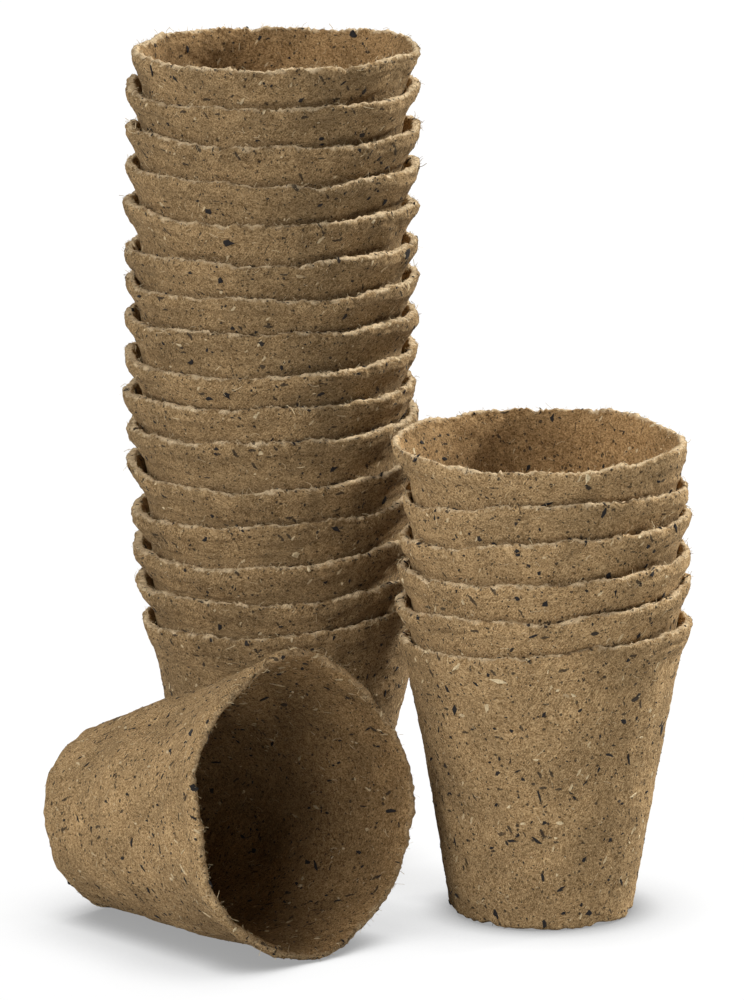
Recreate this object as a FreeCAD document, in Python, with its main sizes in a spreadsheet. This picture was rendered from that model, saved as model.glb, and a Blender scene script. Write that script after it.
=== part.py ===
import FreeCAD, Part
import math
import os

import Sketcher

# A set of moulded peat pots as it stands on a table: a tall nested stack, a short nested stack
# and one pot lying on its side in front. The tall stack stands on the origin, the short stack is
# to its right and nearer the viewer, and +Z is up. Every pot comes out of the same mould; what
# differs from pot to pot is how far its rim is worn down and which way it is turned.

# Driving dimensions, in millimetres unless the name says degrees
SIZES = {
    "pot_height": 80.0,
    "foot_diameter": 50.0,
    "mouth_diameter": 76.4,
    "wall_thickness": 1.25,
    "floor_thickness": 1.8,
    "foot_round": 2.5,
    "floor_round": 2.0,
    "lip_reach": 1.8,
    "lip_height": 6.0,
    "lip_band": 2.4,
    "lip_flare": 1.4,
    "lip_flare_depth": 4.0,
    "rim_drop": 3.0,
    "rim_sag": 1.2,
    "cut_overrun": 5.0,
    "nest_clearance": 0.3,
    "stack_gap": 6.8,
    "loose_gap": 0.635,
    "stack_bearing_degrees": -30.1,
    "loose_bearing_degrees": -46.7,
}

# What follows from them, as formulas of the same sheet. The wall slope is the radius that the
# wall gains for each millimetre of height, the wall's radial thickness is its thickness measured
# level, and the nest rise is how far a pot stands above the one that it is pushed into.
FORMULAS = {
    "foot_radius": "foot_diameter / 2",
    "mouth_radius": "mouth_diameter / 2",
    "rim_radius": "mouth_radius + lip_reach",
    "wall_slope": "(mouth_radius - foot_radius) / pot_height",
    "wall_radial": "wall_thickness * sqrt(1 + wall_slope * wall_slope)",
    "nest_rise": "(wall_radial + nest_clearance) / wall_slope",
    "bore_radius": "mouth_radius - wall_radial",
    "cut_reach": "rim_radius + cut_overrun",
    "cut_top": "pot_height + cut_overrun",
}

# For each pot of a stack, from the lowest up: how much further than the nest rise it stands
# above the pot below it, as a share of that rise. The lowest pot stands on the table.
TALL_RISE_SHARES = [0.0, 0.02, 0.14, 0.12, 0.16, 0.0, 0.01, 0.0, 0.06, 0.02, 0.17, 0.13, 0.12, 0.15, 0.12]
SHORT_RISE_SHARES = [0.01, 0.03, 0.14, 0.07, 0.07]

# How far each rim is worn down at its low side, as a share of the rim drop, lowest pot first
TALL_DROP_SHARES = [1.0, 0.8, 0.9, 0.95, 0.6, 0.6, 0.5, 0.5, 0.2, 0.25, 0.3, 0.15, 0.1, 0.12, 0.15, 0.1]
SHORT_DROP_SHARES = [0.8, 0.9, 0.7, 0.9, 0.5, 0.15]
LOOSE_DROP_SHARE = 0.2

# How deep each rim sags between its two high sides, as a share of the rim sag, lowest pot first
TALL_SAG_SHARES = [0.8, 1.0, 0.9, 0.7, 1.0, 0.4, 0.5, 0.9, 0.3, 0.7, 0.3, 0.9, 0.5, 0.6, 0.9, 1.0]
SHORT_SAG_SHARES = [0.7, 1.0, 0.9, 0.4, 0.6, 0.9]
LOOSE_SAG_SHARE = 0.8

# Which way each pot is turned about its own axis, as a share of a full turn, lowest pot first.
# With no turn the low side of the rim is at the viewer's left.
TALL_TURN_SHARES = [0.0, 0.03, -0.02, 0.05, 0.02, -0.04, 0.0, 0.06, 0.13, -0.05, 0.09, 0.3, -0.2, 0.42, 0.55, 0.2]
SHORT_TURN_SHARES = [0.03, -0.04, 0.01, 0.06, -0.02, 0.36]
LOOSE_TURN_SHARE = 0.25

# Where the loose pot's axis passes the tall stack, as a share of the pot height from its foot
LOOSE_STATION_SHARE = 0.045

FULL_TURN_DEGREES = 360.0


def make_sheet(doc):
    """Write the driving dimensions and what follows from them into one sheet."""
    sheet = doc.addObject("Spreadsheet::Sheet", "sizes")
    row = 1
    for name, value in SIZES.items():
        sheet.set("A{}".format(row), name)
        sheet.set("B{}".format(row), str(value))
        sheet.setAlias("B{}".format(row), name)
        row += 1
    doc.recompute()
    for name, formula in FORMULAS.items():
        sheet.set("A{}".format(row), name)
        sheet.set("B{}".format(row), "=" + formula)
        sheet.setAlias("B{}".format(row), name)
        row += 1
        doc.recompute()
    return sheet


def origin_feature(body, role):
    """Return the plane or axis of the body's own origin that has this role."""
    for feature in body.Origin.OriginFeatures:
        if feature.Role == role:
            return feature
    raise ValueError("no origin feature with the role " + role)


def cell(expression):
    """Return the expression with every alias of the sheet in it pointing at the sheet."""
    for name in list(SIZES) + list(FORMULAS):
        expression = expression.replace("{" + name + "}", "sizes." + name)
    return expression


def value_of(sheet, name):
    """Return one value of the sheet as a plain number."""
    return float(sheet.get(name))


def new_sketch(body, name):
    """Return an empty sketch on the body's upright plane, X across and Z up."""
    sketch = body.newObject("Sketcher::SketchObject", name)
    sketch.AttachmentSupport = (origin_feature(body, "XZ_Plane"), [""])
    sketch.MapMode = "FlatFace"
    return sketch


# What a constraint calls a sketch's own origin, its upright axis and the two ends of an edge.
# A sketch's axes are counted down from -1, and an edge's ends are counted up from 1.
ORIGIN = (-1, 1)
UPRIGHT_AXIS = ORIGIN[0] - 1
START, END = range(1, 3)


def hold_point(sketch, edge, end, across, height):
    """Hold one end of an edge at a place given by two expressions, zero as the number 0."""
    point = sketch.getPoint(edge, end)
    for kind, expression, now in (("DistanceX", across, point.x), ("DistanceY", height, point.y)):
        if expression == 0:
            axis = UPRIGHT_AXIS if kind == "DistanceX" else ORIGIN[0]
            sketch.addConstraint(Sketcher.Constraint("PointOnObject", edge, end, axis))
            continue
        index = sketch.addConstraint(Sketcher.Constraint(kind, ORIGIN[0], ORIGIN[1], edge, end, now))
        name = "{}_{}_{}".format(kind, edge, end)
        sketch.renameConstraint(index, name)
        sketch.setExpression("Constraints." + name, cell(expression))


def draw_outline(sketch, points, places):
    """Draw a closed outline through the points and hold each corner at its place."""
    count = len(points)
    for index in range(count):
        start = FreeCAD.Vector(*points[index])
        end = FreeCAD.Vector(*points[(index + 1) % count])
        sketch.addGeometry(Part.LineSegment(start, end), False)
    for index in range(count):
        following = (index + 1) % count
        sketch.addConstraint(Sketcher.Constraint("Coincident", index, END, following, START))
    for index in range(count):
        hold_point(sketch, index, START, places[index][0], places[index][1])


def pot_outline(sheet):
    """Return the corners of half the pot's section, in millimetres and as expressions.

    From the middle of the foot outwards: foot edge, up the wall to the underside of the lip,
    the lip's upright band, the rim, the flared mouth, down the bore and back over the floor."""
    places = [
        (0, 0),
        ("{foot_radius}", 0),
        ("{foot_radius} + {wall_slope} * ({pot_height} - {lip_height})", "{pot_height} - {lip_height}"),
        ("{rim_radius}", "{pot_height} - {lip_band}"),
        ("{rim_radius}", "{pot_height}"),
        ("{bore_radius} + {lip_flare}", "{pot_height}"),
        ("{bore_radius} - {wall_slope} * {lip_flare_depth}", "{pot_height} - {lip_flare_depth}"),
        ("{foot_radius} - {wall_radial} + {wall_slope} * {floor_thickness}", "{floor_thickness}"),
        (0, "{floor_thickness}"),
    ]
    height = value_of(sheet, "pot_height")
    slope = value_of(sheet, "wall_slope")
    foot = value_of(sheet, "foot_radius")
    bore = value_of(sheet, "bore_radius")
    rim = value_of(sheet, "rim_radius")
    radial = value_of(sheet, "wall_radial")
    floor = value_of(sheet, "floor_thickness")
    lip_foot = height - value_of(sheet, "lip_height")
    flare_foot = height - value_of(sheet, "lip_flare_depth")
    points = [
        (0, 0),
        (foot, 0),
        (foot + slope * lip_foot, lip_foot),
        (rim, height - value_of(sheet, "lip_band")),
        (rim, height),
        (bore + value_of(sheet, "lip_flare"), height),
        (bore - slope * value_of(sheet, "lip_flare_depth"), flare_foot),
        (foot - radial + slope * floor, floor),
        (0, floor),
    ]
    return points, places


def ring_edge(shape, radius, height):
    """Return the name of the round edge about the pot's axis that is nearest this size and place."""
    best = None
    for index, edge in enumerate(shape.Edges):
        if not isinstance(edge.Curve, Part.Circle):
            continue
        miss = abs(edge.Curve.Radius - radius) + abs(edge.Curve.Center.z - height)
        if best is None or miss < best[0]:
            best = (miss, index + 1)
    return "Edge{}".format(best[1])


def round_ring(body, base, name, radius, height, size_name):
    """Round the edge of this radius at this height, by a named size."""
    rounding = body.newObject("PartDesign::Fillet", name)
    rounding.Base = (base, [ring_edge(base.Shape, radius, height)])
    rounding.setExpression("Radius", cell("{" + size_name + "}"))
    body.Document.recompute()
    return rounding


def wear_rim(body, sheet, drop_share, sag_share):
    """Cut the rim to a shallow hollow that is lower at one side, straight through the mouth."""
    doc = body.Document
    before = body.Shape.Volume
    reach = value_of(sheet, "cut_reach")
    top = value_of(sheet, "cut_top")
    height = value_of(sheet, "pot_height")
    drop = value_of(sheet, "rim_drop") * drop_share
    sag = value_of(sheet, "rim_sag") * sag_share
    sketch = new_sketch(body, "rim_line")
    low = FreeCAD.Vector(-reach, height - drop)
    middle = FreeCAD.Vector(0, height - drop / 2 - sag)
    high = FreeCAD.Vector(reach, height)
    sketch.addGeometry(Part.Arc(low, middle, high), False)
    sketch.addGeometry(Part.LineSegment(high, FreeCAD.Vector(reach, top)), False)
    sketch.addGeometry(Part.LineSegment(FreeCAD.Vector(reach, top), FreeCAD.Vector(-reach, top)), False)
    sketch.addGeometry(Part.LineSegment(FreeCAD.Vector(-reach, top), low), False)
    for index in (1, 2):
        sketch.addConstraint(Sketcher.Constraint("Coincident", index, END, index + 1, START))
    sketch.addConstraint(Sketcher.Constraint("Coincident", 0, START, 3, END))
    sketch.addConstraint(Sketcher.Constraint("Coincident", 0, END, 1, START))
    hold_point(sketch, 1, START, "{cut_reach}", "{pot_height}")
    hold_point(sketch, 2, START, "{cut_reach}", "{cut_top}")
    hold_point(sketch, 3, START, "-{cut_reach}", "{cut_top}")
    hold_point(sketch, 3, END, "-{cut_reach}", "{{pot_height}} - {} * {{rim_drop}}".format(drop_share))
    # The arc's radius follows from half its chord and its rise over the chord
    chord_fall = "{} * {{rim_drop}} / 2".format(drop_share)
    half_chord_squared = "({{cut_reach}} * {{cut_reach}} + {0} * {0})".format(chord_fall)
    rise = "({} * {{rim_sag}})".format(sag_share)
    index = sketch.addConstraint(Sketcher.Constraint("Radius", 0, sketch.Geometry[0].Radius))
    sketch.renameConstraint(index, "rim_line_radius")
    expression = "({0} / {1} + {1}) / 2".format(half_chord_squared, rise)
    sketch.setExpression("Constraints.rim_line_radius", cell(expression))
    doc.recompute()
    cut = body.newObject("PartDesign::Pocket", "rim_wear")
    cut.Profile = sketch
    cut.Type = "ThroughAll"
    cut.Midplane = True
    doc.recompute()
    if not body.Shape.Volume < before:
        raise ValueError("the rim of {} isn't cut".format(body.Label))


def make_pot(doc, sheet, label, drop_share, sag_share):
    """Mould one pot standing on its foot, and wear its rim."""
    body = doc.addObject("PartDesign::Body", label)
    body.Label = label
    profile = new_sketch(body, "section")
    points, places = pot_outline(sheet)
    draw_outline(profile, [(across, height, 0) for across, height in points], places)
    doc.recompute()
    turned = body.newObject("PartDesign::Revolution", "shell")
    turned.Profile = profile
    turned.ReferenceAxis = (profile, ["V_Axis"])
    turned.Angle = FULL_TURN_DEGREES
    doc.recompute()
    foot = value_of(sheet, "foot_radius")
    floor = value_of(sheet, "floor_thickness")
    bore_foot = foot - value_of(sheet, "wall_radial") + value_of(sheet, "wall_slope") * floor
    outer = round_ring(body, turned, "foot_edge", foot, 0, "foot_round")
    round_ring(body, outer, "floor_edge", bore_foot, floor, "floor_round")
    wear_rim(body, sheet, drop_share, sag_share)
    return body


def place(body, base, rotation):
    """Put a pot in its place in the shared frame."""
    body.Placement = FreeCAD.Placement(base, rotation)


def upright(turn_share):
    """Return the rotation of a standing pot that is turned about its own axis."""
    return FreeCAD.Rotation(FreeCAD.Vector(0, 0, 1), turn_share * FULL_TURN_DEGREES)


def make_stack(doc, sheet, labels, foot_centre, rise_shares, drop_shares, sag_shares, turn_shares):
    """Stand one pot on the table and push the others into it, each a nest rise or more higher."""
    height = 0
    pots = []
    for index, label in enumerate(labels):
        if index:
            height += value_of(sheet, "nest_rise") * (1 + rise_shares[index - 1])
        body = make_pot(doc, sheet, label, drop_shares[index], sag_shares[index])
        place(body, foot_centre + FreeCAD.Vector(0, 0, height), upright(turn_shares[index]))
        pots.append(body)
    return pots


def direction(bearing_degrees):
    """Return the level direction with this bearing, counted from +X towards +Y."""
    bearing = math.radians(bearing_degrees)
    return FreeCAD.Vector(math.cos(bearing), math.sin(bearing), 0)


def short_stack_centre(sheet):
    """Return the short stack's foot centre: the rims of the stacks stand the stack gap apart."""
    spacing = 2 * value_of(sheet, "rim_radius") + value_of(sheet, "stack_gap")
    return direction(value_of(sheet, "stack_bearing_degrees")) * spacing


def lying_rest(sheet):
    """Return the angle in degrees and the foot centre's height of a pot lying on the table.

    It touches with the lower edge of its lip's band and with the rounding of its foot, so the
    table is the line through the band's edge that touches the rounding's circle in the section."""
    slope_angle = math.atan(value_of(sheet, "wall_slope"))
    rounding = value_of(sheet, "foot_round")
    right_angle = math.pi / 2
    corner_length = rounding / math.tan((right_angle + slope_angle) / 2)
    rounding_radius = value_of(sheet, "foot_radius") - corner_length
    band_radius = value_of(sheet, "rim_radius")
    band_height = value_of(sheet, "pot_height") - value_of(sheet, "lip_band")
    away = band_height - rounding
    out = band_radius - rounding_radius
    angle = math.atan2(out, away) - math.asin(rounding / math.hypot(away, out))
    centre_height = band_radius * math.cos(angle) - band_height * math.sin(angle)
    return math.degrees(angle), centre_height


def loose_distance(sheet, tilt, centre_height, station):
    """Return how far the lying pot's axis passes from the tall stack's axis, seen from above.

    Both walls are cones, and balls along the axis of a cone sweep it out. The two nearest balls
    give the distance at which the walls are the loose gap apart."""
    slope_angle = math.atan(value_of(sheet, "wall_slope"))
    climb = (1 + math.sin(tilt)) / math.cos(tilt)
    spread = math.sqrt(1 - (1 + climb ** 2) * math.sin(slope_angle) ** 2)
    feet = 2 * value_of(sheet, "foot_radius") * math.cos(slope_angle)
    widening = (centre_height + climb * station) * math.sin(slope_angle)
    return (value_of(sheet, "loose_gap") + feet + widening) / spread


def make_loose_pot(doc, sheet):
    """Lay one pot on its side beside the tall stack, its mouth towards the viewer's right."""
    body = make_pot(doc, sheet, "loose_pot", LOOSE_DROP_SHARE, LOOSE_SAG_SHARE)
    tilt, centre_height = lying_rest(sheet)
    bearing = value_of(sheet, "loose_bearing_degrees")
    along = direction(bearing)
    aside = FreeCAD.Vector(-along.y, along.x, 0)
    station = LOOSE_STATION_SHARE * value_of(sheet, "pot_height")
    beside = loose_distance(sheet, math.radians(tilt), centre_height, station)
    centre = along * -station - aside * beside + FreeCAD.Vector(0, 0, centre_height)
    quarter_turn = FULL_TURN_DEGREES / 4
    laid = FreeCAD.Rotation(FreeCAD.Vector(0, 1, 0), quarter_turn - tilt)
    pointed = FreeCAD.Rotation(FreeCAD.Vector(0, 0, 1), bearing)
    place(body, centre, pointed.multiply(laid).multiply(upright(LOOSE_TURN_SHARE)))
    return body


def check(doc, pots):
    """Stop if any object failed or any pot has no valid solid."""
    for item in doc.Objects:
        if "Invalid" in item.State or "Error" in item.State:
            raise ValueError("{} failed: {}".format(item.Label, item.State))
    for body in pots:
        if body.Shape.isNull() or not body.Shape.isValid():
            raise ValueError("{} has no valid solid".format(body.Label))


def main():
    doc = FreeCAD.newDocument("peat_pots")
    sheet = make_sheet(doc)
    tall_labels = ["tall_stack_pot_{:02d}".format(number + 1) for number in range(len(TALL_DROP_SHARES))]
    short_labels = ["short_stack_pot_{}".format(number + 1) for number in range(len(SHORT_DROP_SHARES))]
    pots = make_stack(doc, sheet, tall_labels, FreeCAD.Vector(0, 0, 0), TALL_RISE_SHARES,
                      TALL_DROP_SHARES, TALL_SAG_SHARES, TALL_TURN_SHARES)
    pots += make_stack(doc, sheet, short_labels, short_stack_centre(sheet), SHORT_RISE_SHARES,
                       SHORT_DROP_SHARES, SHORT_SAG_SHARES, SHORT_TURN_SHARES)
    pots.append(make_loose_pot(doc, sheet))
    doc.recompute()
    check(doc, pots)
    os.makedirs("parts", exist_ok=True)
    for body in pots:
        body.Shape.exportStep("parts/{}.step".format(body.Label))
        print(body.Label, round(body.Shape.Volume), [round(side) for side in body.Placement.Base])


main()
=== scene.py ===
import functools
import math

import bmesh
import bpy
import numpy as np
from bpy.props import FloatProperty, FloatVectorProperty, IntProperty, PointerProperty
from mathutils import Matrix, Vector


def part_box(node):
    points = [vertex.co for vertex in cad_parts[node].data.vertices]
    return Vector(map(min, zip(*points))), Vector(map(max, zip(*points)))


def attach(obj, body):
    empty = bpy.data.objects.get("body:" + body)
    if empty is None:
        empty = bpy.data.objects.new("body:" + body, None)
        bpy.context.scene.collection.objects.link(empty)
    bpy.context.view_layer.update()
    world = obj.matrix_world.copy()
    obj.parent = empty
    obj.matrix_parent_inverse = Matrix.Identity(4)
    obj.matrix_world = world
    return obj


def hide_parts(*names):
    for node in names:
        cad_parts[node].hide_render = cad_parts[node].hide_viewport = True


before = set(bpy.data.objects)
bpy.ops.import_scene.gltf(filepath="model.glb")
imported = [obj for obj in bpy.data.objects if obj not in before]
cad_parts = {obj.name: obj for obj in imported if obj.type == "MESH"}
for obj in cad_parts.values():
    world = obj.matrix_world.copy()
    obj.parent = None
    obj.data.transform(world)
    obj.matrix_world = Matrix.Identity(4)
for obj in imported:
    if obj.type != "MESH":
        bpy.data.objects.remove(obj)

bl_info = {
    "name": "Peat Pots",
    "version": (1, 0, 0),
    "blender": (4, 5, 0),
    "location": "3D View > Sidebar > Peat Pots",
    "description": "Moulds a set of peat pots around its packed frame: two nested stacks and one loose pot",
    "category": "Object",
}

MM = 0.001
FULL_TURN = 2 * math.pi

# The pot's radius half way up in millimetres, the faces of a rounded corner and the least face
MIDDLE_RADIUS = 32
ROUNDING_PARTS = 5
SMALLEST_AREA = 1e-18

# What each pot's rim has worn down or swelled up by, in millimetres, seen from the front:
# at its left, right, front and back. The lowest pot of each stack comes first.
TALL_RIM_HEIGHTS = [
    (-6.5, 0.1, -4.5, -2.5), (-4.9, -0.6, -5.1, -1.5), (-5.1, 0.0, -4.3, -1.5), (-5.4, 0.0, -3.7, -2.0),
    (-2.9, 0.0, -4.8, -0.5), (-3.2, -0.1, -2.0, -1.0), (-3.0, -0.5, -2.1, -1.2), (-2.5, -0.1, -2.9, -0.5),
    (-0.8, -0.1, -0.4, -0.6), (-0.8, 0.0, -1.2, -0.3), (-1.5, 0.0, -0.6, -0.9), (0.0, 0.0, -1.2, -0.8),
    (0.0, -0.9, -0.8, -0.4), (-0.1, -0.9, -1.2, -0.6), (-0.7, 0.0, -1.7, -0.5), (-0.7, -0.2, -1.7, -0.6),
]
SHORT_RIM_HEIGHTS = [
    (-3.2, 2.2, 0.3, -0.8), (-2.1, 3.4, 0.1, 0.4), (-1.8, 2.3, 0.2, 0.2), (-4.4, 1.8, 0.6, -2.0),
    (-4.4, -0.5, 0.7, -3.0), (0.9, 1.2, -0.2, 2.2),
]
LOOSE_RIM_HEIGHTS = (0.0, -0.4, -0.5, -0.3)

# How far each lip stands out beyond the mould's, in millimetres, at the same four places
TALL_RIM_REACHES = [
    (0.6, 0.2, -0.7, -0.6), (1.4, 0.8, -0.9, -0.7), (1.6, 0.8, -0.5, -0.5), (1.3, 0.9, -0.8, -0.8),
    (0.9, 0.9, -1.0, -0.6), (0.8, 1.1, -0.6, -0.9), (1.3, 0.6, -0.9, -0.4), (1.1, 0.9, -0.4, -0.7),
    (0.8, 1.2, -0.9, -0.6), (0.5, 1.2, -0.8, -0.8), (0.5, 1.1, -0.3, -0.5), (0.8, 1.0, -0.9, -0.7),
    (0.3, 1.0, -0.6, -0.6), (0.4, 0.9, -0.9, -0.5), (0.8, 0.8, -0.8, -0.8), (-0.7, -0.5, -0.9, -0.6),
]
SHORT_RIM_REACHES = [
    (-0.4, 0.0, -1.0, -0.6), (0.2, 0.2, -0.7, -0.7), (0.0, 0.0, -0.6, -0.5), (-0.2, 0.1, -0.9, -0.8),
    (-0.9, -0.7, -0.8, -0.6), (1.4, -1.2, -1.0, -0.5),
]
LOOSE_RIM_REACHES = (1.6, -0.4, -0.2, 0.1)

# How far the tall stack leans to the right at each height above the table, in millimetres
LEAN_HEIGHTS = (0, 25, 56, 80, 100, 120, 131, 190, 212, 236)
LEAN_SHIFTS = (0, 1.8, 3.8, 2.6, 1.6, 0.4, 0.0, 0.0, 0.5, 1.4)

# Where the loose pot lies: its foot's centre in millimetres, how far its axis rises towards the
# mouth and which way its mouth points, counted from +X towards +Y
LOOSE_FOOT_CENTRE = (-43.622, -36.161, 24.483)
LOOSE_RISE_DEGREES = 10.983
LOOSE_BEARING_DEGREES = -46.7

# The tone of each batch of pots, outside and inside: no two batches of pulp are quite alike, but the tones
# are also painted light and shade.
# Painted shade darkens the tall stack and the inside of the loose pot; painted light lightens the short
# stack and the outside of the loose pot
BATCH_TONES_AND_PAINTED_LIGHT = {"tall": (0.90, 0.93), "short": (1.10, 1.04), "loose": (1.22, 0.90)}

# The largest chips of bark and straw that show on each pot: where they lie round it in degrees from
# +X, how far below the rim, or less than 0 on the inside, their length and width, all in millimetres,
# how far they tilt from level in degrees, and their tone, from 0 for bark to 1 for straw
LARGE_CHIPS = {
    "short_stack_pot_1": [(-91, 18.5, 2.2, 1.3, 70, 0), (-135, 11.4, 3.2, 0.9, -64, 0),
        (-120, 8.8, 3, 0.7, -45, 0), (-46, 33.4, 4.2, 0.9, -75, 0), (-107, 55.9, 3.5, 1, 5, 0),
        (-104, 54.5, 1.6, 0.9, 60, 0), (-94, 55.6, 4.2, 1, -38, 0), (-90, 50.4, 1.4, 1.2, 0, 0),
        (-75, 43.3, 2.2, 0.8, -55, 0), (-77, 41.8, 1.6, 0.5, -30, 0), (-93, 42.9, 4.4, 0.8, -78, 0),
        (-91, 66.3, 3.3, 1.3, -80, 0), (-79, 69.9, 3, 1, 38, 0), (-121, 78.4, 2.6, 1.8, -70, 0),
        (-89, 80, 3.3, 1.9, -75, 0), (-36, 71.3, 3.2, 0.9, -60, 0), (-49, 68.8, 1.3, 1, 10, 0),
        (-110, 7.9, 5, 1.7, -5, 0.95), (-128, 3.8, 4.2, 1, 35, 1), (-97, 1.1, 2.2, 0.8, -35, 0.95),
        (-89, 5.6, 2.4, 0.6, 85, 1), (-82, 50.2, 2.6, 1.8, 10, 0.9), (-102, 50.6, 2, 1.3, 20, 0.9),
        (-38, 45.4, 3, 0.8, 20, 0.95), (-78, 13.7, 2, 1, -30, 0.9), (-94, 31.5, 1.8, 0.7, 0, 0.95),
        (-129, 20.6, 2, 1.3, 10, 0.8), (-120, 58.9, 1.8, 1.2, 30, 0.05), (-112, 31.9, 2, 0.7, 80, 0),
        (-106, 32.4, 1.8, 0.5, 75, 0), (-103, 35.3, 2, 0.5, 35, 0), (-143, 39.1, 1.3, 0.9, 20, 0),
        (-146, 26.6, 2.8, 0.5, 75, 0), (-44, 22.2, 1.8, 0.9, 60, 0), (-63, 35.5, 2.5, 0.7, 72, 0),
        (-78, 77.2, 2, 1, 10, 0.1), (-147, 59.6, 3.6, 0.5, -85, 0), (-141, 15.6, 1.4, 1, 0, 0),
        (-113, 22.9, 1.4, 1.1, 0, 0), (-75, 17.4, 1.5, 1, 30, 0), (-113, 54.4, 2.4, 1.8, 10, 0.35),
        (97, -1, 1.8, 1, 30, 0), (145, -1, 2, 1.4, 60, 0), (-108, -1, 2.6, 0.9, 25, 0),
        (-93, -1, 1.6, 1.2, 40, 0), (-163, -1, 2.6, 0.5, 85, 0)],
    "tall_stack_pot_16": [(-149, 3.7, 3, 0.8, -65, 0)],
    "tall_stack_pot_15": [(-131, -1, 3, 1.2, 20, 0.05)],
    "tall_stack_pot_14": [(-160, -1, 4, 0.7, -40, 1), (23, -1, 3, 0.9, 70, 1)],
    "tall_stack_pot_13": [(160, -1, 4.6, 1.3, -32, 0.95), (-103, -1, 1.8, 1.1, 0, 0),
        (68, -1, 3.4, 1.4, 10, 0.05), (15, -1, 2, 1.2, 10, 0), (10, -1, 2.6, 0.8, 75, 0.05)],
    "tall_stack_pot_08": [(96, -1, 4, 1.4, 45, 0), (88, -1, 3.6, 1.4, 30, 0.95)],
    "tall_stack_pot_11": [(13, -1, 1.8, 1, 80, 0), (119, -1, 1.6, 1.3, 0, 0),
        (178, -1, 3.6, 0.8, -75, 0.95), (-145, -1, 3.2, 0.7, 0, 0)],
    "tall_stack_pot_10": [(68, -1, 4.2, 1.2, 5, 0.05), (-154, 2.7, 2, 1, 0, 0)],
    "tall_stack_pot_07": [(133, -1, 3.6, 1.2, 25, 1), (157, -1, 3, 1.1, 10, 0)],
    "tall_stack_pot_12": [(-31, -1, 2.2, 0.6, 80, 0.95)],
    "tall_stack_pot_09": [(-153, -1, 2.2, 0.7, -5, 1)],
    "short_stack_pot_4": [(136, -1, 2.2, 1.3, 60, 0), (113, -1, 1.6, 1, 0, 0), (96, -1, 2.6, 1, 0, 0),
        (102, -1, 2.4, 1.1, -5, 0.9), (82, -1, 2, 1.4, 40, 1), (-27, 1.9, 3, 1.2, -60, 0)],
    "short_stack_pot_5": [(-27, -1, 2.8, 1.2, -75, 0)],
    "short_stack_pot_3": [(178, -1, 2, 1.5, 60, 0), (-169, -1, 1.4, 1.2, 0, 0)],
    "short_stack_pot_2": [(128, -1, 3, 1, 35, 0), (-3, -1, 2.6, 0.6, -85, 0), (-30, -1, 2.4, 1, 0, 0.8)],
    "loose_pot": [(118, -8.1, 3.5, 0.9, -69, 0), (81, -7.7, 5.2, 1.6, -91, 0),
        (62, -16.5, 2.8, 1.1, -114, 0), (53, -28.2, 5, 1, -139, 0), (83, -16.4, 2.6, 0.6, -103, 0),
        (113, -63.6, 3, 0.8, -102, 0), (110, -33.2, 3, 1, -51, 0.8), (158, -21.1, 5, 0.5, -130, 0.9),
        (96, -25.9, 1.8, 0.9, -102, 0), (80, -27.9, 1.3, 1.2, -91, 0), (-179, 0, 2.4, 1, -10, 0),
        (75, -3.7, 2.4, 0.6, -163, 0.1), (36, -14.8, 2, 0.8, -69, 0), (38, -20.5, 1.6, 0.7, -82, 0),
        (117, -14.2, 2.2, 0.5, -93, 0), (103, -26.9, 2.4, 1, -125, 0.7), (17, -24, 2.8, 0.9, 0, 0.75),
        (9, -9.6, 2.4, 0.8, -76, 0.9), (-15, -7.4, 2.8, 0.7, 24, 0.95), (73, -15, 1.5, 1.2, -89, 0.75),
        (151, -29.3, 3.2, 1.2, -96, 0), (133, -46.8, 2, 0.8, -104, 0), (135, -2.2, 5, 0.5, -167, 0.7),
        (145, -9.9, 2.6, 0.6, -133, 0), (108, -8.1, 1.2, 0.9, -96, 0), (59, -0.8, 1.6, 0.6, -87, 0),
        (114, -3.1, 4, 0.5, -98, 0.75), (-103, 22.9, 1.4, 1.1, 89, 0), (-75, 12.2, 4.5, 0.6, 32, 1),
        (-71, 11.9, 2.4, 0.7, 14, 0), (-60, 37.4, 3.4, 0.9, -28, 0), (-73, 35, 2.8, 0.7, 30, 0),
        (-129, 64.5, 2.8, 0.6, 131, 0), (-97, 65, 3, 0.6, 32, 0), (-115, 19.8, 1.8, 0.7, 153, 0),
        (-152, 44.4, 1.6, 1.1, 76, 0), (-135, 70.5, 1.8, 0.6, 109, 0), (-96, 29.2, 1.6, 1.1, 90, 0),
        (-89, 26.8, 1.5, 0.6, 53, 0), (-157, 30.2, 1.4, 0.9, 101, 0), (-53, 12, 3.4, 0.5, 46, 1),
        (-60, 11.6, 2, 0.4, -5, 0.9), (-42, 39.1, 1.6, 0.9, 76, 0), (-119, 45.4, 1.2, 0.6, 149, 0),
        (-120, 56.8, 1.2, 0.6, 172, 0), (-125, 44.4, 1.4, 0.8, 90, 0.9), (-121, 29.1, 1.6, 1, 85, 0.85),
        (-83, 11.3, 2.6, 0.5, 126, 0.95), (-55, 46, 1.2, 1, 99, 0), (-96, 71.1, 1.2, 0.9, 90, 0),
        (-44, 30.6, 2.2, 1, -31, 0.8)],
}

# The share of its full strength that the torn edge's pale colour has on a free pot and in a nest
# The pale colour is partly bare fibre and partly a painted highlight along the crest, much stronger on the
# nested rims
TORN_AND_PAINTED_HIGHLIGHT_FREE = 0.15
TORN_AND_PAINTED_HIGHLIGHT_NESTED = 0.65

# The share of the wall's grain that is left where a nest hides it
HIDDEN_GRAIN = 0.10

# Each pot takes its pattern from another place of the same noise, this far from the last
PATTERN_PLACES = 997
PATTERN_STEP = 3 * MM

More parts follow.
